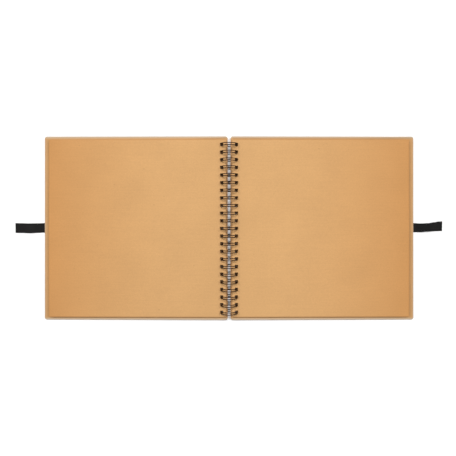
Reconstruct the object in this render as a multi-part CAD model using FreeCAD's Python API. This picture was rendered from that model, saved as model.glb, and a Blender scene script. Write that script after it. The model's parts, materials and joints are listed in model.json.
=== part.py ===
import FreeCAD, Part
import math
import os

# A square wire-bound sketchbook, lying open at its middle leaf.
# The origin is on the table under the spine's middle: +X to the back cover, +Y to the head, +Z up.
# Each side is drawn flat, as the back half, with the ring centre at the origin: u runs from the
# spine to the fore-edge and v up from the cover to the reader. place() then tilts and lifts it.

# binding wire
LOOP_COUNT = 23
LOOP_PITCH = 12.7  # two loops to the inch
RING_RADIUS = 13.6  # to the middle of the wire
WIRE_RADIUS = 0.7
STRAND_SPACING = 3.4  # between the two strands of a loop
TIP_ANGLE = -95.0  # where the strands turn into the loop's closed tip
FOOT_ANGLE = 246.0  # where the strands turn into the bars between loops
BEND_RADIUS = 1.2  # from a strand into a bar
END_STUB = 3.0  # bar left at each end of the binding

# leaves
LEAVES_PER_SIDE = 15
LEAF_SIZE = 295.5
LEAF_THICKNESS = 0.4
LEAF_PITCH = 0.52
LEAF_HOLE_INSET = 7.0  # from the leaf's edge to the middle of its holes
LEAF_HOLE = (5.4, 5.6)

# covers
COVER_WIDTH = 309.0
COVER_HEIGHT = 309.4
COVER_THICKNESS = 2.8
COVER_HOLE_INSET = 7.3
COVER_HOLE = (6.0, 5.8)
CORNER_RADIUS = 4.0
PAPER = 0.25  # thickness of the wrap and of the lining
TURN_IN = 15.0
LINING_INSET = 5.0
LINING_SPINE_INSET = 2.5

# ribbons
RIBBON_WIDTH = 16.5
RIBBON_THICKNESS = 0.5
RIBBON_FREE_LENGTH = 49.5
RIBBON_TAIL = 25.0  # glued between the board and the lining
RIBBON_HINGE_GAP = 0.5  # from the cover's edge to the line where the ribbon bends
SLOT_INSET = 18.0  # from the fore-edge to the slot
SLOT = (1.2, 17.5)

ORIGIN = FreeCAD.Vector(0, 0, 0)
AXIS_Y = FreeCAD.Vector(0, 1, 0)
AXIS_Z = FreeCAD.Vector(0, 0, 1)

# levels across the thickness, from the ring centre down
STACK_HEIGHT = LEAVES_PER_SIDE * LEAF_PITCH
LINING_TOP = -STACK_HEIGHT
TURN_IN_TOP = LINING_TOP - PAPER
BOARD_TOP = TURN_IN_TOP - PAPER
COVER_BOTTOM = LINING_TOP - COVER_THICKNESS
BOARD_BOTTOM = COVER_BOTTOM + PAPER
RIBBON_BOTTOM = COVER_BOTTOM - RIBBON_THICKNESS


def ring_reach(level):
    """How far out the wire's middle line is where it passes a level."""
    return math.sqrt(RING_RADIUS**2 - level**2)


# the leaves lie square on each other, with their holes midway between where the ring passes the
# first and the last of them
LEAF_HOLE_U = (ring_reach(0) + ring_reach(LINING_TOP)) / 2
LEAF_INNER = LEAF_HOLE_U - LEAF_HOLE_INSET
COVER_HOLE_U = (ring_reach(LINING_TOP) + ring_reach(COVER_BOTTOM)) / 2
COVER_INNER = COVER_HOLE_U - COVER_HOLE_INSET
COVER_OUTER = COVER_INNER + COVER_WIDTH
SLOT_U = COVER_OUTER - SLOT_INSET

# the rings touch the table and so does the ribbon under the fore-edge, which sets the tilt
RING_CENTRE_Z = RING_RADIUS + WIRE_RADIUS
TILT = math.degrees(
    math.asin(RING_CENTRE_Z / math.hypot(COVER_OUTER, RIBBON_BOTTOM))
    - math.atan2(-RIBBON_BOTTOM, COVER_OUTER)
)


def loop_places():
    """Where each loop is along the spine."""
    middle = (LOOP_COUNT - 1) / 2
    return [(i - middle) * LOOP_PITCH for i in range(LOOP_COUNT)]


def block(u_range, width, v_range):
    """A box centred on the book's middle in Y."""
    corner = FreeCAD.Vector(u_range[0], -width / 2, v_range[0])
    return Part.makeBox(u_range[1] - u_range[0], width, v_range[1] - v_range[0], corner)


def rounded_block(u_range, width, v_range, radius):
    """The same box with its four upright edges rounded."""
    solid = block(u_range, width, v_range)
    upright = [e for e in solid.Edges if abs(e.tangentAt(e.FirstParameter).z) > 0.9]
    return solid.makeFillet(radius, upright)


def rectangle(centre_u, centre_y, size_u, size_y, level):
    """A closed rectangular wire at one level."""
    low = FreeCAD.Vector(centre_u - size_u / 2, centre_y - size_y / 2, level)
    return Part.makePlane(size_u, size_y, low).OuterWire


def punched_plate(u_range, width, v_range, hole_u, hole):
    """A flat plate with one rectangular hole for each loop."""
    middle = (u_range[0] + u_range[1]) / 2
    outline = rectangle(middle, 0, u_range[1] - u_range[0], width, v_range[0])
    holes = [rectangle(hole_u, y, hole[0], hole[1], v_range[0]) for y in loop_places()]
    face = Part.makeFace([outline] + holes, "Part::FaceMakerBullseye")
    return face.extrude(AXIS_Z * (v_range[1] - v_range[0]))


def cover_posts():
    """One post for each hole through a cover."""
    posts = []
    for y in loop_places():
        corner = FreeCAD.Vector(
            COVER_HOLE_U - COVER_HOLE[0] / 2, y - COVER_HOLE[1] / 2, COVER_BOTTOM - 1
        )
        posts.append(Part.makeBox(COVER_HOLE[0], COVER_HOLE[1], COVER_THICKNESS + 2, corner))
    return Part.makeCompound(posts)


def slot_post():
    """The slot that the ribbon passes through."""
    half = SLOT[0] / 2
    return block((SLOT_U - half, SLOT_U + half), SLOT[1], (COVER_BOTTOM - 1, BOARD_TOP + 1))


def cover_board():
    """Greyboard core, with the holes, the slot and a shallow recess for the ribbon's tail."""
    inside = (COVER_INNER + PAPER, COVER_OUTER - PAPER)
    board = rounded_block(
        inside, COVER_HEIGHT - 2 * PAPER, (BOARD_BOTTOM, BOARD_TOP), CORNER_RADIUS - PAPER
    )
    recess = block(
        (SLOT_U - RIBBON_TAIL - 1, SLOT_U), SLOT[1], (BOARD_TOP - RIBBON_THICKNESS, BOARD_TOP + 1)
    )
    return board.cut(Part.makeCompound([recess])).cut(slot_post()).cut(cover_posts())


def cover_wrap():
    """Paper over the outer face and the edges, turned in as a frame on the inner face."""
    whole = rounded_block(
        (COVER_INNER, COVER_OUTER), COVER_HEIGHT, (COVER_BOTTOM, TURN_IN_TOP), CORNER_RADIUS
    )
    core = rounded_block(
        (COVER_INNER + PAPER, COVER_OUTER - PAPER),
        COVER_HEIGHT - 2 * PAPER,
        (BOARD_BOTTOM, BOARD_TOP),
        CORNER_RADIUS - PAPER,
    )
    window = block(
        (COVER_INNER + TURN_IN, COVER_OUTER - TURN_IN),
        COVER_HEIGHT - 2 * TURN_IN,
        (BOARD_TOP - PAPER, TURN_IN_TOP + 1),
    )
    return whole.cut(core).cut(window).cut(slot_post()).cut(cover_posts())


def cover_lining():
    """Endpaper over the turn-ins, pressed down onto the board inside them."""
    sheet = block(
        (COVER_INNER + LINING_SPINE_INSET, COVER_OUTER - LINING_INSET),
        COVER_HEIGHT - 2 * LINING_INSET,
        (TURN_IN_TOP, LINING_TOP),
    )
    pressed = block(
        (COVER_INNER + TURN_IN, COVER_OUTER - TURN_IN),
        COVER_HEIGHT - 2 * TURN_IN,
        (BOARD_TOP, TURN_IN_TOP),
    )
    return sheet.fuse(pressed).removeSplitter().cut(cover_posts())


def leaf(depth):
    """A punched leaf, depth leaves down from the reader."""
    middle = -(depth + 0.5) * LEAF_PITCH
    level = (middle - LEAF_THICKNESS / 2, middle + LEAF_THICKNESS / 2)
    return punched_plate(
        (LEAF_INNER, LEAF_INNER + LEAF_SIZE), LEAF_SIZE, level, LEAF_HOLE_U, LEAF_HOLE
    )


def ribbon_anchor():
    """The ribbon's glued tail, its pass through the slot and its run to the fore-edge."""
    half = RIBBON_THICKNESS / 2
    tail = block(
        (SLOT_U - RIBBON_TAIL, SLOT_U + half), RIBBON_WIDTH, (BOARD_TOP - RIBBON_THICKNESS, BOARD_TOP)
    )
    leg = block((SLOT_U - half, SLOT_U + half), RIBBON_WIDTH, (RIBBON_BOTTOM, BOARD_TOP))
    run = block((SLOT_U - half, COVER_OUTER), RIBBON_WIDTH, (RIBBON_BOTTOM, COVER_BOTTOM))
    return tail.fuse(leg).fuse(run).removeSplitter()


def ribbon_end(side):
    """The ribbon's free end, flat on the table from the line where it bends."""
    edge = place(Part.Vertex(COVER_OUTER, 0, RIBBON_BOTTOM), "back").Point
    start = edge.x + RIBBON_HINGE_GAP
    strip = block((start, start + RIBBON_FREE_LENGTH), RIBBON_WIDTH, (0, RIBBON_THICKNESS))
    return face_side(strip, side)


def face_side(shape, side):
    """The front half is the back half turned half round the spine's upright axis."""
    if side == "front":
        shape.rotate(ORIGIN, AXIS_Z, 180)
    return shape


def place(shape, side):
    """Tilts a piece drawn flat so that its fore-edge comes down to the table, and lifts it."""
    shape.rotate(ORIGIN, AXIS_Y, TILT)
    shape.translate(AXIS_Z * RING_CENTRE_Z)
    return face_side(shape, side)


def radial(angle):
    """The direction from the ring centre to a place on the ring."""
    return FreeCAD.Vector(math.cos(math.radians(angle)), 0, math.sin(math.radians(angle)))


def wire_section(angle, y):
    """The wire's round section at one place on a ring."""
    edge = Part.makeCircle(WIRE_RADIUS, FreeCAD.Vector(RING_RADIUS, y, 0), AXIS_Z)
    edge.rotate(ORIGIN, -AXIS_Y, angle)
    return edge


def foot_bend(y, direction):
    """The quarter bend from a strand towards the bar beside it, and the section where it ends."""
    section = wire_section(FOOT_ANGLE, y)
    centre = radial(FOOT_ANGLE) * RING_RADIUS + AXIS_Y * (y + direction * BEND_RADIUS)
    axis = radial(FOOT_ANGLE) * -direction
    bend = section.revolve(centre, axis, 90)
    section.rotate(centre, axis, 90)
    return bend, section


def loop_faces(y):
    """Two strands round the ring and the closed tip that joins them."""
    half = STRAND_SPACING / 2
    sweep = FOOT_ANGLE - TIP_ANGLE
    strands = [
        wire_section(TIP_ANGLE, y + offset).revolve(ORIGIN, -AXIS_Y, sweep)
        for offset in (-half, half)
    ]
    tip_centre = radial(TIP_ANGLE) * RING_RADIUS + AXIS_Y * y
    tip = wire_section(TIP_ANGLE, y + half).revolve(tip_centre, -radial(TIP_ANGLE), 180)
    return strands + [tip]


def binding_wire():
    """One continuous wire: loops round the ring, joined by bars outside the front cover."""
    half = STRAND_SPACING / 2
    places = loop_places()
    bar_length = LOOP_PITCH - STRAND_SPACING - 2 * BEND_RADIUS
    faces = []
    for y in places:
        faces += loop_faces(y)
        faces.append(foot_bend(y - half, -1)[0])
        bend, section = foot_bend(y + half, 1)
        faces.append(bend)
        if y != places[-1]:
            faces.append(section.extrude(AXIS_Y * bar_length))
    for y, direction in ((places[0] - half, -1), (places[-1] + half, 1)):
        section = foot_bend(y, direction)[1]
        faces.append(section.extrude(AXIS_Y * direction * END_STUB))
        section.translate(AXIS_Y * direction * END_STUB)
        faces.append(Part.Face(Part.Wire(section)))
    shell = Part.makeShell(faces)
    shell.sewShape()
    wire = Part.makeSolid(shell)
    if wire.Volume < 0:
        wire.reverse()
    wire.translate(AXIS_Z * RING_CENTRE_Z)
    return wire


def make_nodes():
    """Every sub-part's name and solid."""
    nodes = {"binding_wire": binding_wire()}
    for side in ("front", "back"):
        nodes[side + "_cover_board"] = place(cover_board(), side)
        nodes[side + "_cover_wrap"] = place(cover_wrap(), side)
        nodes[side + "_cover_lining"] = place(cover_lining(), side)
        nodes[side + "_ribbon_anchor"] = place(ribbon_anchor(), side)
        nodes[side + "_ribbon_end"] = ribbon_end(side)
    for depth in range(LEAVES_PER_SIDE):
        front_number = LEAVES_PER_SIDE - depth
        back_number = LEAVES_PER_SIDE + 1 + depth
        nodes["leaf_%02d" % front_number] = place(leaf(depth), "front")
        nodes["leaf_%02d" % back_number] = place(leaf(depth), "back")
    return nodes


os.makedirs("parts", exist_ok=True)
for name, shape in make_nodes().items():
    if not shape.isValid():
        raise ValueError(name + " isn't a valid solid")
    shape.exportStep("parts/" + name + ".step")
    print(name, len(shape.Solids), round(shape.Volume, 1))
print("tilt", round(TILT, 4), "ring centre", RING_CENTRE_Z, "cover edge", round(COVER_OUTER, 3))
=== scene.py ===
import json
import math
import random

import bmesh
import bpy
from mathutils import Matrix, Vector


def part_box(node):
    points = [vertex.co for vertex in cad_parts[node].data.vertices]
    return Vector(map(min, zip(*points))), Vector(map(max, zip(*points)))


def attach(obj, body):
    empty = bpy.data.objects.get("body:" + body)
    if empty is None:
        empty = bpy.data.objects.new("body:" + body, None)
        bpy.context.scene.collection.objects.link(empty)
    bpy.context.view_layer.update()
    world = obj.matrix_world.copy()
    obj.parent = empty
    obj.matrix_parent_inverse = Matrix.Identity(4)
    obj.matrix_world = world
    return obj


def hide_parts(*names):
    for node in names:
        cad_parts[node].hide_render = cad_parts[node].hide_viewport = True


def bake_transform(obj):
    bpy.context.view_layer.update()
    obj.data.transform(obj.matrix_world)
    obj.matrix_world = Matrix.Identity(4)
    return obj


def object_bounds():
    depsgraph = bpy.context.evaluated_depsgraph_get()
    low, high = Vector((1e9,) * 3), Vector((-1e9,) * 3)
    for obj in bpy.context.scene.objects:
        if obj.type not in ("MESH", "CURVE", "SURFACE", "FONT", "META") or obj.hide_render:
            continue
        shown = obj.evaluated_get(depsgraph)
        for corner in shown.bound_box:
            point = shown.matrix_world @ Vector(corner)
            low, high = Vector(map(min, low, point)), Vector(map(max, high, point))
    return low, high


# A wire-bound sketchbook of kraft paper, lying open at its middle on a pale table.
# Everything is in metres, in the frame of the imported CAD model: X across the open book,
# Y along the spine, Z up. Sizes come from the frame or from the named values below.

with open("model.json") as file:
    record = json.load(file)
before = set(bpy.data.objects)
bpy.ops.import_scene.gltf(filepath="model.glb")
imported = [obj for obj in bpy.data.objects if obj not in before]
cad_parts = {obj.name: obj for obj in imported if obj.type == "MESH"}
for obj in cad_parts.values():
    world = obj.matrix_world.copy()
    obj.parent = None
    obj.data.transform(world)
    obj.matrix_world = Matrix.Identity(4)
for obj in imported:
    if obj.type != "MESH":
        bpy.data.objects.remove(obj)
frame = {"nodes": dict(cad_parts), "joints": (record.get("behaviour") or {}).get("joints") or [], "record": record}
CAD_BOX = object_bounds()

MM = 0.001

# cleaning and cutting CAD meshes
SAME_PLACE = 1e-6
ON_PLANE = 1e-7
FLAT_ANGLE = 0.5  # degrees between two faces that count as one

# binding wire
LOOP_COUNT = 23
LOOP_PITCH = 12.7 * MM
WIRE_RADIUS = 0.7 * MM
STRAND_SPACING = 3.4 * MM
BEND_RADIUS = 1.2 * MM
TIP_ANGLE = -95.0
FOOT_ANGLE = 246.0
END_STUB = 3.0 * MM
WIRE_SIDES = 12
STRAND_STEPS = 60
BEND_STEPS = 5

# leaves
LEAVES_PER_SIDE = 15
LEAF_CELLS = 22  # even steps across a leaf each way
CLOSE_CUTS = (0.33, 0.67, 1.0)  # more cuts beside each edge, as shares of the rolled margin
FORE_EDGE_LIFT = 1.5 * MM  # how far the open leaf stands up at its fore-edge
ROLL_WIDTH = 1.5 * MM  # of a leaf's margin that the guillotine rolled down
ROLL_DROP = 0.20 * MM
PLAY = 0.12 * MM  # how far a leaf may sit from its place on the wire

# covers, and the mount on the open page of each side
PAGES = {"front": "left_page", "back": "right_page"}
RIM_WIDTH = 2.2 * MM  # of a cover's outside where edges are rounded
RIM_ANGLE = 50.0  # degrees that two faces turn at an edge worth rounding
EDGE_ROUNDING = 0.7 * MM
ROUNDING_STEPS = 3
SEAM_WIDTH = 0.3 * MM  # of the mitre where two turn-ins meet
SEAM_DEPTH = 0.15 * MM
SEAM_LENGTH = 30.0 * MM  # from the cover's corner to past the turn-ins' inner end

# ribbons
RIBBON_THICKNESS = 0.4 * MM
RIBBON_COLUMNS = 16
RIBBON_STEPS = 70  # along the free end
RUN_STEPS = 8  # along the run under the cover
SELVEDGE_START = 0.87  # share of the half width
SELVEDGE_SHADE = (6.9 * MM, 7.3 * MM)  # from the middle, between which the weave darkens
MIDDLE_THICKNESS = 0.75  # between the selvedges, as a share of theirs
RIBBON_GAP = 0.05 * MM  # to the faces beside the hidden part
RIBBON_FOLD = 0.35 * MM  # radius where it turns into and out of its slot
FOLD_STEPS = 6
SLOT_INSET = 18.0 * MM

# colours, as linear red, green, blue and an opacity that is always 1
LEAF_COLOUR = (0.560, 0.318, 0.132, 1)
# painted shade: the lining is darker than its paper, for the line of shade on its strip beside the leaves
SHADED_LINING_COLOUR = (0.476, 0.262, 0.106, 1)
WRAP_COLOUR = (0.500, 0.283, 0.122, 1)
# partly wear and partly painted sheen: the grey at the covers' edges, whose rounding reflects the white room
RUBBED_AND_SHEEN_COLOUR = (0.42, 0.37, 0.31, 1)
# painted light: a paler, greyer colour on the covers near head and tail, lifting the strips in the stack's shade
PAINTED_LIGHT_COLOUR = (0.50, 0.39, 0.27, 1)
BOARD_COLOURS = ((0.20, 0.185, 0.165, 1), (0.31, 0.29, 0.26, 1))
WIRE_COLOURS = ((0.026, 0.008, 0.002, 1), (0.055, 0.020, 0.007, 1))  # whole and rubbed
RIBBON_COLOUR = (0.0130, 0.0125, 0.0122, 1)
TABLE_COLOUR = (0.93, 0.93, 0.93, 1)

# painted shade and wear: the painted shade that darkens a leaf towards its fore-edge and along its
# edges, how strongly the edges of leaves and covers are marked, and how far in from the edge each
# mark goes
# painted shade: a leaf's colour is scaled by these towards its fore-edge, for light falling off away from the
# middle
FORE_EDGE_SHADE = (0.90, 0.78, 0.64)
FORE_EDGE_SHADE_START = 0.25  # share of the way to the fore-edge
# painted shade: the thin dark line along every leaf's edge, how dark it is and how far in it goes
EDGE_SHADE = (0.45, 0.36, 0.28)
EDGE_SHADE_STRENGTH = 0.22
EDGE_SHADE_WIDTH = 1.3 * MM
# rubbing and painted sheen at the covers' edges
RUBBED_AND_SHEEN_STRENGTH = 0.85
RUBBED_AND_SHEEN_WIDTH = 2.0 * MM
# painted light at the covers' head and tail
PAINTED_LIGHT_STRENGTH = 0.75
PAINTED_LIGHT_FROM = 3.7 * MM  # in from head and tail, where the painted light on a cover starts
PAINTED_LIGHT_TO = 2.7 * MM  # where the painted light is strongest

# light: how bright the room is near the horizon and overhead, each broad lamp's direction and
# strength, and the place, size and power of the small lamp in line with the spine
HORIZON_LIGHT = 0.76
OVERHEAD_LIGHT = 0.04
HORIZON_TOP = 0.15  # height on a room of radius 1 where its light starts to change
OVERHEAD_EDGE = 0.90  # and where it has changed
BROAD_LAMPS = (
    ("from_the_left", (-0.72, 0.34, 1.0), 0.98),
    ("from_the_right", (0.68, 0.26, 1.0), 0.78),
)
SOFTNESS = 14.0  # the angle that a broad lamp fills, in degrees
SPINE_LAMP = ((0.0, 0.78, 2.2), 0.5, 33.0)

# camera
CAMERA_HEIGHT = 0.800
CAMERA_PLACE = (-0.0018, 0.036)
LENS = 37.25
SENSOR = 36.0
NEAREST_VIEW = 0.01

# floor
FLOOR_REACH = 40.0  # from its middle to each side
FLOOR_GAP = 0.02 * MM  # below the book's lowest point


def joint(name):
    """One joint of the frame, by name."""
    return next(j for j in frame["joints"] if j["name"] == name)


RING_CENTRE = Vector(joint("front_cover_turn")["pos_m"])


def corners(node):
    """A node's lowest and highest corners."""
    low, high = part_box(node)
    return Vector(low), Vector(high)


def reach(node):
    """How far a node goes from the book's middle, across and along."""
    low, high = corners(node)
    return max(abs(low.x), abs(high.x)), high.y


WIRE_LOW, WIRE_HIGH = corners("binding_wire")
RING_RADIUS = (WIRE_HIGH.x - WIRE_LOW.x) / 2 - WIRE_RADIUS


# ---------------------------------------------------------------- small tools


def new_object(name, mesh):
    """Links a mesh into the scene as an object."""
    obj = bpy.data.objects.new(name, mesh)
    bpy.context.scene.collection.objects.link(obj)
    return obj


def smooth(mesh, angle):
    """Smooth shading with edges kept sharp above an angle in degrees."""
    mesh.polygons.foreach_set("use_smooth", [True] * len(mesh.polygons))
    mesh.set_sharp_from_angle(angle=math.radians(angle))


def cad_copy(node):
    """A welded bmesh of a CAD node's own mesh, free of triangles on its flat faces."""
    work = bmesh.new()
    work.from_mesh(frame["nodes"][node].data)
    bmesh.ops.remove_doubles(work, verts=work.verts, dist=SAME_PLACE)
    bmesh.ops.dissolve_limit(
        work, angle_limit=math.radians(FLAT_ANGLE), verts=work.verts, edges=work.edges
    )
    return work


def dress(obj, material):
    """Gives a piece one material."""
    obj.data.materials.clear()
    obj.data.materials.append(material)


# ---------------------------------------------------------------- materials


class Nodes:
    """A short way to write a material's node tree."""

    def __init__(self, name):
        self.material = bpy.data.materials.new(name)
        self.material.use_nodes = True
        self.tree = self.material.node_tree
        self.shader = self.tree.nodes["Principled BSDF"]
        coordinates = self.add("ShaderNodeTexCoord")
        self.place = coordinates.outputs["Object"]

    def add(self, kind, inputs=(), **settings):
        """Adds a node, sets its properties and fills or links its inputs."""
        node = self.tree.nodes.new(kind)
        for key, value in settings.items():
            setattr(node, key, value)
        for key, value in dict(inputs).items():
            self.feed(node.inputs[key], value)
        return node

    def feed(self, socket, value):
        """Links a socket to another node's output, or sets its value."""
        if isinstance(value, bpy.types.NodeSocket):
            self.tree.links.new(value, socket)
        else:
            socket.default_value = value

    def stretched(self, scale, turn=(0, 0, 0)):
        """The place, turned and stretched."""
        node = self.add("ShaderNodeMapping", {"Vector": self.place, "Scale": scale})
        node.inputs["Rotation"].default_value = [math.radians(a) for a in turn]
        return node.outputs["Vector"]

    def noise(self, scale, detail=3.0, roughness=0.5, at=None):
        """A noise value around 0.5."""
        inputs = {
            "Vector": at or self.place,
            "Scale": scale,
            "Detail": detail,
            "Roughness": roughness,
        }
        return self.add("ShaderNodeTexNoise", inputs).outputs["Fac"]

    def from_middle(self, axis):
        """How far the place is from the book's middle along X (0) or Y (1)."""
        parts = self.add("ShaderNodeSeparateXYZ", {0: self.place})
        return self.math("ABSOLUTE", parts.outputs[axis])

    def band(self, value, low, high, to_low=0.0, to_high=1.0):
        """Maps low..high to to_low..to_high, clamped."""
        inputs = {
            "Value": value,
            "From Min": low,
            "From Max": high,
            "To Min": to_low,
            "To Max": to_high,
        }
        return self.add("ShaderNodeMapRange", inputs).outputs["Result"]

    def math(self, operation, a, b=0.0):
        """One sum, product or other operation on two values."""
        return self.add("ShaderNodeMath", {0: a, 1: b}, operation=operation).outputs[0]

    def mix(self, amount, a, b, blend="MIX"):
        """Mixes two colours."""
        node = self.add("ShaderNodeMix", data_type="RGBA", blend_type=blend)
        self.feed(node.inputs["Factor"], amount)
        self.feed(node.inputs[6], a)
        self.feed(node.inputs[7], b)
        return node.outputs[2]

    def bump(self, height, distance):
        """Feeds a height into the shader's normal."""
        inputs = {"Height": height, "Distance": distance, "Strength": 1.0}
        node = self.add("ShaderNodeBump", inputs)
        self.feed(self.shader.inputs["Normal"], node.outputs["Normal"])


def margin(n, reach_x, reach_y, width):
    """1 at a sheet's outer edges and 0 from a width inside them."""
    across = n.band(n.from_middle(0), reach_x - width, reach_x)
    along = n.band(n.from_middle(1), reach_y - width, reach_y)
    return n.math("MAXIMUM", across, along)


def shaded(colour, factors):
    """A colour with its three parts scaled."""
    return tuple(min(1.0, c * f) for c, f in zip(colour, factors)) + (1,)


def fibre_layer(n, base, scale, turn, amount, colour):
    """Short fibres that lie one way, over a base colour. Returns the new base and the fibres."""
    threads = n.band(n.noise(1.0, 2.0, 0.5, n.stretched(scale, (0, 0, turn))), 0.69, 0.77)
    return n.mix(n.math("MULTIPLY", threads, amount), base, colour), threads


def kraft_base(n, colour, plain, fleck):
    """Unbleached kraft paper: cloudy fibre mass, streaks along the web, dark flecks, and dark and
    pale fibres that are shades of the plain colour. Returns its colour, mottle and dark fibres."""
    cloud = n.band(n.noise(16.0, 4.0), 0.3, 0.7, 0.970, 1.030)
    mottle = n.band(n.noise(420.0, 5.0, 0.65), 0.25, 0.75, 0.94, 1.06)
    streak = n.band(n.noise(1.0, 3.0, 0.6, n.stretched((22, 700, 22))), 0.3, 0.7, 0.98, 1.02)
    tone = n.math("MULTIPLY", n.math("MULTIPLY", cloud, mottle), streak)
    base = n.mix(1.0, colour, tone, "MULTIPLY")
    dark = shaded(plain, (0.45, 0.45, 0.45))
    pale = shaded(plain, (1.35, 1.35, 1.35))
    base, first = fibre_layer(n, base, (260, 2600, 900), 24, 0.45, dark)
    base, second = fibre_layer(n, base, (300, 2800, 900), 107, 0.45, dark)
    base, _ = fibre_layer(n, base, (2400, 240, 900), 31, 0.35, pale)

    cells = n.add("ShaderNodeTexVoronoi", {"Vector": n.place, "Scale": 120.0, "Randomness": 1.0})
    near = n.band(cells.outputs["Distance"], 0.05, 0.14, 1.0, 0.0)
    chosen = n.add("ShaderNodeSeparateColor", {"Color": cells.outputs["Color"]}).outputs[0]
    flecks = n.math("MULTIPLY", near, n.band(chosen, 0.90, 0.97))
    base = n.mix(n.math("MULTIPLY", flecks, fleck), base, shaded(plain, (0.25, 0.25, 0.25)))
    return base, mottle, n.math("MAXIMUM", first, second)


def kraft_finish(n, base, mottle, fibres, roughness, grain):
    """Sets a kraft paper's colour, its uneven dullness and its fibrous surface."""
    n.feed(n.shader.inputs["Base Color"], base)
    rough = n.band(mottle, 0.94, 1.06, roughness - 0.05, roughness + 0.05)
    n.feed(n.shader.inputs["Roughness"], rough)
    n.shader.inputs["Specular IOR Level"].default_value = 0.25
    n.bump(n.math("ADD", n.noise(2600.0, 3.0, 0.6), n.math("MULTIPLY", fibres, 0.6)), grain)


def leaf_kraft():
    """The leaves' paper, with painted shade towards the fore-edge and in a thin line along its edges."""
    n = Nodes("leaf_kraft")
    reach_x, reach_y = reach("leaf_15")
    # painted shade: darker and more orange towards the fore-edge
    fore_edge_shade = n.math("POWER", n.band(n.from_middle(0), FORE_EDGE_SHADE_START * reach_x, reach_x), 1.6)
    colour = n.mix(fore_edge_shade, LEAF_COLOUR, shaded(LEAF_COLOUR, FORE_EDGE_SHADE))
    base, mottle, fibres = kraft_base(n, colour, LEAF_COLOUR, 0.30)
    # painted shade: a thin dark line along the leaf's edges
    edge_shade = n.math("MULTIPLY", margin(n, reach_x, reach_y, EDGE_SHADE_WIDTH), EDGE_SHADE_STRENGTH)
    base = n.mix(edge_shade, base, shaded(LEAF_COLOUR, EDGE_SHADE))
    kraft_finish(n, base, mottle, fibres, 0.82, 0.05 * MM)
    return n.material


def lining_kraft():
    """The endpaper inside each cover, its colour darkened to paint the line of shade beside the leaves."""
    n = Nodes("lining_kraft")
    base, mottle, fibres = kraft_base(n, SHADED_LINING_COLOUR, SHADED_LINING_COLOUR, 0.35)
    kraft_finish(n, base, mottle, fibres, 0.82, 0.05 * MM)
    return n.material


def wrap_kraft():
    """The stouter paper round the boards, paler with painted light at head and tail, and grey at every
    edge, partly from rubbing and partly from a painted sheen.
    """
    n = Nodes("wrap_kraft")
    base, mottle, fibres = kraft_base(n, WRAP_COLOUR, WRAP_COLOUR, 0.40)
    reach_x, reach_y = reach("back_cover_wrap")
    # painted light: paler towards head and tail, on the strips that lie in the stack's shade
    painted_light = (reach_y - PAINTED_LIGHT_FROM, reach_y - PAINTED_LIGHT_TO, 0.0, PAINTED_LIGHT_STRENGTH)
    base = n.mix(n.band(n.from_middle(1), *painted_light), base, PAINTED_LIGHT_COLOUR)
    patches = n.band(n.noise(90.0, 4.0, 0.6), 0.35, 0.6, 0.45, 1.0)
    # rubbing and painted sheen along every edge of the covers
    rubbed_and_sheen = n.math("MULTIPLY", margin(n, reach_x, reach_y, RUBBED_AND_SHEEN_WIDTH), patches)
    base = n.mix(n.math("MULTIPLY", rubbed_and_sheen, RUBBED_AND_SHEEN_STRENGTH), base, RUBBED_AND_SHEEN_COLOUR)
    kraft_finish(n, base, mottle, fibres, 0.74, 0.08 * MM)
    return n.material


def greyboard():
    """Grey recycled board with coarse fibres."""
    n = Nodes("greyboard")
    mottle = n.band(n.noise(700.0, 5.0, 0.7), 0.3, 0.7)
    n.feed(n.shader.inputs["Base Color"], n.mix(mottle, *BOARD_COLOURS))
    n.shader.inputs["Roughness"].default_value = 0.9
    n.bump(n.noise(1500.0, 4.0, 0.7), 0.08 * MM)
    return n.material


def coated_wire():
    """Nylon-coated steel wire, a brown that is nearly black, with rubbed places."""
    n = Nodes("coated_wire")
    rub = n.band(n.noise(260.0, 4.0, 0.6), 0.60, 0.74)
    n.feed(n.shader.inputs["Base Color"], n.mix(rub, *WIRE_COLOURS))
    n.feed(n.shader.inputs["Roughness"], n.band(n.noise(900.0, 3.0), 0.3, 0.7, 0.34, 0.48))
    n.shader.inputs["Specular IOR Level"].default_value = 0.18
    n.bump(n.noise(1400.0, 2.0), 0.02 * MM)
    return n.material


def satin_ribbon():
    """Black woven ribbon: fine ribs across it, a bound selvedge, and faint uneven threads. Its
    mesh carries the place on the flat ribbon, so the weave follows every bend."""
    n = Nodes("satin_ribbon")
    flat = n.add("ShaderNodeAttribute", attribute_name="flat_place").outputs["Vector"]
    ribs = n.add(
        "ShaderNodeTexWave",
        {"Vector": flat, "Scale": 520.0, "Distortion": 0.5, "Detail": 1.0},
        bands_direction="X",
    ).outputs["Fac"]
    stretch = n.add("ShaderNodeMapping", {"Vector": flat, "Scale": (180, 3600, 1)})
    threads = n.noise(1.0, 2.0, 0.5, stretch.outputs["Vector"])
    across = n.add("ShaderNodeSeparateXYZ", {0: flat}).outputs[1]
    edge = n.band(n.math("ABSOLUTE", across), *SELVEDGE_SHADE, 1.0, 0.45)
    shade = n.math("MULTIPLY", n.band(ribs, 0, 1, 0.75, 1.1), n.band(threads, 0.3, 0.7, 0.8, 1.2))
    tone = n.math("MULTIPLY", shade, edge)
    n.feed(n.shader.inputs["Base Color"], n.mix(1.0, RIBBON_COLOUR, tone, "MULTIPLY"))
    n.feed(n.shader.inputs["Roughness"], n.band(threads, 0.3, 0.7, 0.42, 0.58))
    n.shader.inputs["Specular IOR Level"].default_value = 0.06
    n.bump(n.math("ADD", ribs, n.math("MULTIPLY", threads, 0.5)), 0.05 * MM)
    return n.material


def table_top():
    """Plain pale table."""
    n = Nodes("table_top")
    n.shader.inputs["Base Color"].default_value = TABLE_COLOUR
    n.shader.inputs["Roughness"].default_value = 0.9
    n.shader.inputs["Specular IOR Level"].default_value = 0.1
    return n.material


# ---------------------------------------------------------------- binding wire


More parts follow.
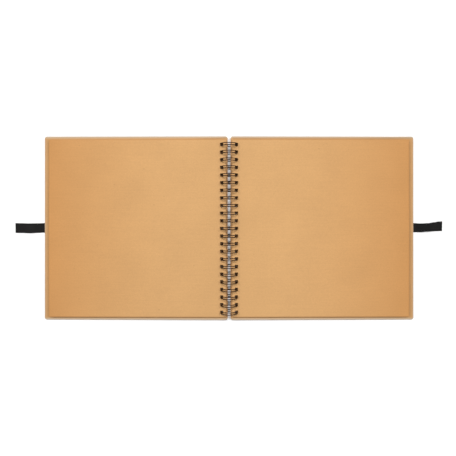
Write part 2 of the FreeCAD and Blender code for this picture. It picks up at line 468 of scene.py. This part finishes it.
def radial(angle):
    """The direction from the ring centre to a place on the ring."""
    return Vector((math.cos(math.radians(angle)), 0, math.sin(math.radians(angle))))


def strand_points(y, start, end):
    """Points round the ring from one angle to another, each with its outward direction."""
    points = []
    for i in range(STRAND_STEPS + 1):
        out = radial(start + (end - start) * i / STRAND_STEPS)
        points.append((RING_CENTRE + out * RING_RADIUS + Vector((0, y, 0)), out))
    return points


def turn_points(centre_y, angle, radius, first, last, steps):
    """Points on a small bend that lies on the ring's surface. Its angle runs from first to last,
    with 0 towards +Y and 90 on round the ring."""
    out = radial(angle)
    along = Vector((-out.z, 0, out.x))
    centre = RING_CENTRE + out * RING_RADIUS + Vector((0, centre_y, 0))
    points = []
    for i in range(1, steps):
        a = math.radians(first + (last - first) * i / steps)
        across = Vector((0, radius * math.cos(a), 0))
        points.append((centre + across + along * radius * math.sin(a), out))
    return points


def wire_points():
    """The whole wire's middle line, from one end of the binding to the other."""
    half = STRAND_SPACING / 2
    first_y = -(LOOP_COUNT - 1) / 2 * LOOP_PITCH
    foot = radial(FOOT_ANGLE)
    along = Vector((-foot.z, 0, foot.x))
    bar_line = RING_CENTRE + foot * RING_RADIUS + along * BEND_RADIUS
    to_bar = half + BEND_RADIUS
    points = [(bar_line + Vector((0, first_y - to_bar - END_STUB, 0)), foot)]
    for i in range(LOOP_COUNT):
        y = first_y + i * LOOP_PITCH
        points.append((bar_line + Vector((0, y - to_bar, 0)), foot))
        points += turn_points(y - to_bar, FOOT_ANGLE, BEND_RADIUS, 90, 0, BEND_STEPS)
        points += strand_points(y - half, FOOT_ANGLE, TIP_ANGLE)
        points += turn_points(y, TIP_ANGLE, half, 180, 360, 2 * BEND_STEPS)
        points += strand_points(y + half, TIP_ANGLE, FOOT_ANGLE)
        points += turn_points(y + to_bar, FOOT_ANGLE, BEND_RADIUS, 180, 90, BEND_STEPS)
        points.append((bar_line + Vector((0, y + to_bar, 0)), foot))
    last_y = -first_y + to_bar + END_STUB
    points.append((bar_line + Vector((0, last_y, 0)), foot))
    return points


def binding_wire(material):
    """A round tube along the wire's line. The outward direction is square to the line all along,
    so the section never twists."""
    points = wire_points()
    work = bmesh.new()
    rings = []
    for i, (place, out) in enumerate(points):
        before = points[max(i - 1, 0)][0]
        after = points[min(i + 1, len(points) - 1)][0]
        side = (after - before).normalized().cross(out).normalized()
        ring = []
        for k in range(WIRE_SIDES):
            a = 2 * math.pi * k / WIRE_SIDES
            offset = out * math.cos(a) + side * math.sin(a)
            ring.append(work.verts.new(place + offset * WIRE_RADIUS))
        rings.append(ring)
    for ring, following in zip(rings, rings[1:]):
        for k in range(WIRE_SIDES):
            m = (k + 1) % WIRE_SIDES
            work.faces.new((ring[k], ring[m], following[m], following[k]))
    work.faces.new(rings[0])
    work.faces.new(reversed(rings[-1]))
    bmesh.ops.recalc_face_normals(work, faces=work.faces)
    mesh = bpy.data.meshes.new("twin_loop_wire")
    work.to_mesh(mesh)
    smooth(mesh, 50)
    wire = new_object("twin_loop_wire", mesh)
    dress(wire, material)
    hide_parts("binding_wire")
    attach(wire, "binding")


# ---------------------------------------------------------------- leaves


def side_axes(side):
    """The directions of one side of the open book: out from the spine, and up from its pages."""
    up = Vector(next(m for m in frame["record"]["mounts"] if m["name"] == PAGES[side])["axis"])
    return Vector((math.copysign(up.z, up.x), 0, -abs(up.x))), up


def slice_at(work, place, normal):
    """Cuts every face along a plane."""
    everything = work.verts[:] + work.edges[:] + work.faces[:]
    bmesh.ops.bisect_plane(work, geom=everything, plane_co=place, plane_no=normal, dist=ON_PLANE)


def cut_places(first, last):
    """Where a leaf is cut between two edges: evenly, and closely beside each edge."""
    span = last - first
    even = [first + span * i / LEAF_CELLS for i in range(1, LEAF_CELLS)]
    close = [ROLL_WIDTH * share for share in CLOSE_CUTS]
    return even + [first + c for c in close] + [last - c for c in close]


def lift_at(out, along):
    """How far a sheet stands up at a place, as a share of its most: nothing at the spine, most at
    the fore-edge, with a slow wave along it."""
    wave = 0.62 + 0.30 * math.cos(math.pi * (along * 1.35 + 0.2)) + 0.08 * math.sin(7.1 * along + 1)
    return max(0.0, out) ** 2 * wave


def rolled(inside):
    """How far a leaf's margin is rolled down, as a share of its most, this far inside its edge."""
    return max(0.0, 1 - inside / ROLL_WIDTH) ** 1.5


def leaf_sheet(number, depth, side, material):
    """A punched leaf that relaxes upwards at its fore-edge, more the nearer it is to the reader.
    It sits a little off its place, as far as its holes let it."""
    node = "leaf_%02d" % number
    low, high = corners(node)
    out, up = side_axes(side)
    inner = min(abs(low.x), abs(high.x))
    outer = max(abs(low.x), abs(high.x))
    work = cad_copy(node)
    for distance in cut_places(inner, outer):
        slice_at(work, Vector((math.copysign(distance, out.x), 0, 0)), Vector((1, 0, 0)))
    for y in cut_places(low.y, high.y):
        slice_at(work, Vector((0, y, 0)), Vector((0, 1, 0)))
    share = 1 - depth / LEAVES_PER_SIDE
    chance = random.Random(number)
    shift = out * chance.uniform(-PLAY, PLAY) + Vector((0, chance.uniform(-PLAY, PLAY), 0))
    turn = Matrix.Rotation(chance.uniform(-PLAY, PLAY) / high.y, 3, up)
    for vert in work.verts:
        distance = abs(vert.co.x)
        lift = FORE_EDGE_LIFT * lift_at((distance - inner) / (outer - inner), vert.co.y / high.y)
        inside = min(outer - distance, high.y - abs(vert.co.y))
        drop = ROLL_DROP * rolled(inside)
        vert.co = turn @ vert.co + shift + up * share * (lift - drop)
    bmesh.ops.triangulate(work, faces=[f for f in work.faces if len(f.verts) > 4])
    mesh = bpy.data.meshes.new(node + "_sheet")
    work.to_mesh(mesh)
    smooth(mesh, 40)
    sheet = new_object(node + "_sheet", mesh)
    dress(sheet, material)
    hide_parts(node)
    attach(sheet, node)


# ---------------------------------------------------------------- covers


def rim_edges(work, low, high):
    """The cover's outer edges, top and bottom, that paper would round off."""
    found = []
    for edge in work.edges:
        if len(edge.link_faces) != 2 or edge.calc_face_angle(0) < math.radians(RIM_ANGLE):
            continue
        outside = [
            v.co.x < low.x + RIM_WIDTH or v.co.x > high.x - RIM_WIDTH
            or v.co.y < low.y + RIM_WIDTH or v.co.y > high.y - RIM_WIDTH
            for v in edge.verts
        ]
        if all(outside):
            found.append(edge)
    return found


def mitre_seam(work, corner, inward, up):
    """A shallow groove in the inner face, from a corner inwards, where two turn-ins meet."""
    across = Vector((-inward.y, inward.x, 0))
    for offset in (-SEAM_WIDTH / 2, 0, SEAM_WIDTH / 2):
        slice_at(work, corner + across * offset, across)
    for vert in work.verts:
        place = vert.co - corner
        on_line = abs(place.dot(across)) < SAME_PLACE
        faces_up = vert.normal.dot(up) > 0.5
        if on_line and faces_up and 0 < place.dot(inward) < SEAM_LENGTH:
            vert.co -= up * SEAM_DEPTH


def mitre_seams(work, low, high, up):
    """A mitre at each of a cover's four corners, at 45 degrees."""
    for x, inward_x in ((low.x, 1), (high.x, -1)):
        for y, inward_y in ((low.y, 1), (high.y, -1)):
            inward = Vector((inward_x, inward_y, 0)).normalized()
            mitre_seam(work, Vector((x, y, 0)), inward, up)


def cover_wrap(side, material):
    """The paper round the board, with softly rounded edges where it folds over."""
    node = side + "_cover_wrap"
    low, high = corners(node)
    work = cad_copy(node)
    bmesh.ops.bevel(
        work, geom=rim_edges(work, low, high), offset=EDGE_ROUNDING, segments=ROUNDING_STEPS,
        profile=0.5, affect="EDGES", clamp_overlap=True,
    )
    work.normal_update()
    mitre_seams(work, low, high, side_axes(side)[1])
    mesh = bpy.data.meshes.new(side + "_cover_paper")
    work.to_mesh(mesh)
    smooth(mesh, 35)
    wrap = new_object(side + "_cover_paper", mesh)
    dress(wrap, material)
    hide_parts(node)
    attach(wrap, side + "_cover")


# ---------------------------------------------------------------- ribbons

# How each free end lies, at a few shares of its length from the cover's edge: how far its middle
# is along Y in millimetres, the share of its width left by gathers, its twist and its climb in
# degrees.
RIBBON_STAGES = {
    "front": (
        (0.00, 0.3, 0.98, 0, 0),
        (0.25, -0.1, 0.98, 2, 4),
        (0.55, -0.4, 1.00, -4, -3),
        (0.80, -0.1, 1.00, 2, 3),
        (1.00, 0.1, 1.00, 2, 1),
    ),
    "back": (
        (0.00, 0.6, 0.95, 0, 0),
        (0.20, 0.5, 0.92, 14, 18),
        (0.45, 1.4, 0.90, 17, 3),
        (0.70, 2.5, 0.93, 13, -16),
        (0.88, 3.0, 0.99, 5, -5),
        (1.00, 3.2, 1.00, 3, 2),
    ),
}


def eased(stages, share):
    """A ribbon's values at a share of its length, eased between the stages on either side."""
    for a, b in zip(stages, stages[1:]):
        if share <= b[0]:
            t = (share - a[0]) / (b[0] - a[0])
            t = t * t * (3 - 2 * t)
            return [p + (q - p) * t for p, q in zip(a[1:], b[1:])]
    return list(stages[-1][1:])


def turned_fold(centre, out, up, first, last):
    """Stations round one fold, whose face turns from one angle to another, 90 being outwards."""
    stations = []
    for i in range(FOLD_STEPS + 1):
        a = math.radians(first + (last - first) * i / FOLD_STEPS)
        normal = up * math.cos(a) + out * math.sin(a)
        bend = 1 if last > first else -1
        stations.append((centre + normal * RIBBON_FOLD * bend, normal))
    return stations


def hidden_stations(side):
    """The glued tail between board and lining, the pass through the slot and the run under the
    cover, as (middle, direction up from the ribbon's face)."""
    low, high = corners(side + "_ribbon_anchor")
    out, up = side_axes(side)
    outer = max(abs(low.x), abs(high.x))
    tail = outer - min(abs(low.x), abs(high.x))
    edge = Vector((math.copysign(outer, out.x), 0, low.z + RIBBON_THICKNESS / 2 + RIBBON_GAP))
    rise = high.z - low.z - tail * abs(out.z) - RIBBON_THICKNESS - 2 * RIBBON_GAP

    def at(back, height):
        return edge - out * back + up * height

    stations = [(at(tail - RIBBON_THICKNESS, rise), up)]
    stations += turned_fold(at(SLOT_INSET + RIBBON_FOLD, rise - RIBBON_FOLD), out, up, 0, 90)
    stations += turned_fold(at(SLOT_INSET - RIBBON_FOLD, RIBBON_FOLD), out, up, 90, 0)
    run = SLOT_INSET - 2 * RIBBON_FOLD
    stations += [(at(run * (1 - i / RUN_STEPS), 0), up) for i in range(1, RUN_STEPS + 1)]
    return stations


def free_stations(side, start, length, half_width):
    """The free end's sections, stepped along its real length from the cover's edge."""
    sign = -1 if side == "front" else 1
    step = length / RIBBON_STEPS
    place = Vector((start, 0, 0))
    sections = []
    for i in range(1, RIBBON_STEPS + 1):
        y, width, twist, climb = eased(RIBBON_STAGES[side], i / RIBBON_STEPS)
        slope = math.radians(climb)
        place += Vector((sign * math.cos(slope), 0, math.sin(slope))) * step
        tau = math.radians(twist)
        rest = RIBBON_THICKNESS / 2 + half_width * width * abs(math.sin(tau))
        middle = Vector((place.x, y * MM, max(0, place.z) + rest))
        across = Vector((0, math.cos(tau), math.sin(tau)))
        normal = Vector((-sign * math.sin(slope), -math.sin(tau), math.cos(tau) * math.cos(slope)))
        sections.append((middle, across, normal.normalized(), width))
    return sections


def ribbon_sections(side):
    """Every cross-section along a ribbon: middle, across, up and width share."""
    low, high = corners(side + "_ribbon_end")
    near = min(abs(low.x), abs(high.x))
    half_width = (high.y - low.y) / 2
    hidden = hidden_stations(side)
    exit_y, exit_share = RIBBON_STAGES[side][0][1:3]
    sections = []
    for place, up in hidden:
        pulled = max(0.0, 1 - (near - abs(place.x)) / SLOT_INSET)
        shift = Vector((0, exit_y * MM * pulled, 0))
        sections.append((place + shift, Vector((0, 1, 0)), up, 1 - (1 - exit_share) * pulled))
    start = hidden[-1][0].x
    length = max(abs(low.x), abs(high.x)) - abs(start)
    return sections + free_stations(side, start, length, half_width), half_width


def ribbon_mesh(name, sections, half_width):
    """A closed woven band through its sections, whose selvedges are thicker than its middle. Each
    point keeps its place on the flat ribbon."""
    work = bmesh.new()
    flat = work.verts.layers.float_vector.new("flat_place")
    rows = []
    along = 0.0
    for i, (place, across, up, width) in enumerate(sections):
        if i:
            along += (place - sections[i - 1][0]).length
        row = []
        for k in range(RIBBON_COLUMNS + 1):
            c = 2 * k / RIBBON_COLUMNS - 1
            thick = RIBBON_THICKNESS / 2 * (1.0 if abs(c) > SELVEDGE_START else MIDDLE_THICKNESS)
            pair = []
            for face in (1, -1):
                vert = work.verts.new(place + across * (half_width * width * c) + up * thick * face)
                vert[flat] = Vector((along, half_width * c, 0))
                pair.append(vert)
            row.append(pair)
        rows.append(row)
    last = RIBBON_COLUMNS
    for a, b in zip(rows, rows[1:]):
        for k in range(last):
            work.faces.new((a[k][0], a[k + 1][0], b[k + 1][0], b[k][0]))
            work.faces.new((a[k][1], b[k][1], b[k + 1][1], a[k + 1][1]))
        work.faces.new((a[0][0], b[0][0], b[0][1], a[0][1]))
        work.faces.new((a[last][0], a[last][1], b[last][1], b[last][0]))
    for row in (rows[0], rows[-1]):
        for k in range(last):
            work.faces.new((row[k][0], row[k][1], row[k + 1][1], row[k + 1][0]))
    bmesh.ops.recalc_face_normals(work, faces=work.faces)
    mesh = bpy.data.meshes.new(name)
    work.to_mesh(mesh)
    smooth(mesh, 60)
    return mesh


def ribbon(side, material):
    """One woven ribbon, from glued tail to cut end, that folds where it leaves the cover."""
    sections, half_width = ribbon_sections(side)
    tie = new_object(side + "_ribbon_tie", ribbon_mesh(side + "_ribbon_tie", sections, half_width))
    dress(tie, material)
    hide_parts(side + "_ribbon_anchor", side + "_ribbon_end")
    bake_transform(tie)


# ---------------------------------------------------------------- scene


def floor(material):
    """A plain pale table top under the book."""
    work = bmesh.new()
    bmesh.ops.create_grid(work, x_segments=1, y_segments=1, size=FLOOR_REACH)
    mesh = bpy.data.meshes.new("table_top")
    work.to_mesh(mesh)
    table = new_object("table_top", mesh)
    table.location.z = CAD_BOX[0][2] - FLOOR_GAP
    dress(table, material)


def add_light(name, kind, place, aim, power):
    """A lamp of one kind at a place, aimed at a point."""
    data = bpy.data.lights.new(name, kind)
    data.energy = power
    light = bpy.data.objects.new(name, data)
    light.location = place
    light.rotation_euler = (Vector(aim) - Vector(place)).to_track_quat("-Z", "Y").to_euler()
    bpy.context.scene.collection.objects.link(light)
    return data


def room():
    """A pale room, brighter round the sides than overhead."""
    world = bpy.data.worlds.new("studio")
    world.use_nodes = True
    tree = world.node_tree
    tree.nodes["Background"].inputs["Color"].default_value = (1, 1, 1, 1)
    direction = tree.nodes.new("ShaderNodeTexCoord")
    parts = tree.nodes.new("ShaderNodeSeparateXYZ")
    shade = tree.nodes.new("ShaderNodeMapRange")
    shade.inputs["From Min"].default_value = HORIZON_TOP
    shade.inputs["From Max"].default_value = OVERHEAD_EDGE
    shade.inputs["To Min"].default_value = HORIZON_LIGHT
    shade.inputs["To Max"].default_value = OVERHEAD_LIGHT
    tree.links.new(direction.outputs["Generated"], parts.inputs[0])
    tree.links.new(parts.outputs[2], shade.inputs["Value"])
    tree.links.new(shade.outputs["Result"], tree.nodes["Background"].inputs["Strength"])
    bpy.context.scene.world = world


def lighting():
    """Soft studio light: the room, a broad lamp from each side and a small one in line with the
    spine, whose light reaches the table between the pages."""
    room()
    for name, direction, power in BROAD_LAMPS:
        add_light(name, "SUN", direction, (0, 0, 0), power).angle = math.radians(SOFTNESS)
    place, size, power = SPINE_LAMP
    add_light("over_the_spine", "AREA", place, (0, 0, 0), power).size = size
    bpy.context.scene.view_settings.view_transform = "Standard"


def camera():
    """Straight down on the open book, a little towards its head."""
    data = bpy.data.cameras.new("camera")
    data.lens = LENS
    data.sensor_width = SENSOR
    data.shift_y = -CAMERA_PLACE[1] * LENS / SENSOR / CAMERA_HEIGHT
    data.clip_start = NEAREST_VIEW
    view = bpy.data.objects.new("camera", data)
    view.location = (CAMERA_PLACE[0], CAMERA_PLACE[1], CAMERA_HEIGHT)
    bpy.context.scene.collection.objects.link(view)
    bpy.context.scene.camera = view


def build():
    """Every piece of the book, with its material."""
    leaf_paper = leaf_kraft()
    lining_paper = lining_kraft()
    wrap_paper = wrap_kraft()
    ribbon_weave = satin_ribbon()
    board = greyboard()
    binding_wire(coated_wire())
    for depth in range(LEAVES_PER_SIDE):
        leaf_sheet(LEAVES_PER_SIDE - depth, depth, "front", leaf_paper)
        leaf_sheet(LEAVES_PER_SIDE + 1 + depth, depth, "back", leaf_paper)
    for side in ("front", "back"):
        cover_wrap(side, wrap_paper)
        ribbon(side, ribbon_weave)
        dress(frame["nodes"][side + "_cover_board"], board)
        dress(frame["nodes"][side + "_cover_lining"], lining_paper)


build()
floor(table_top())
lighting()
camera()
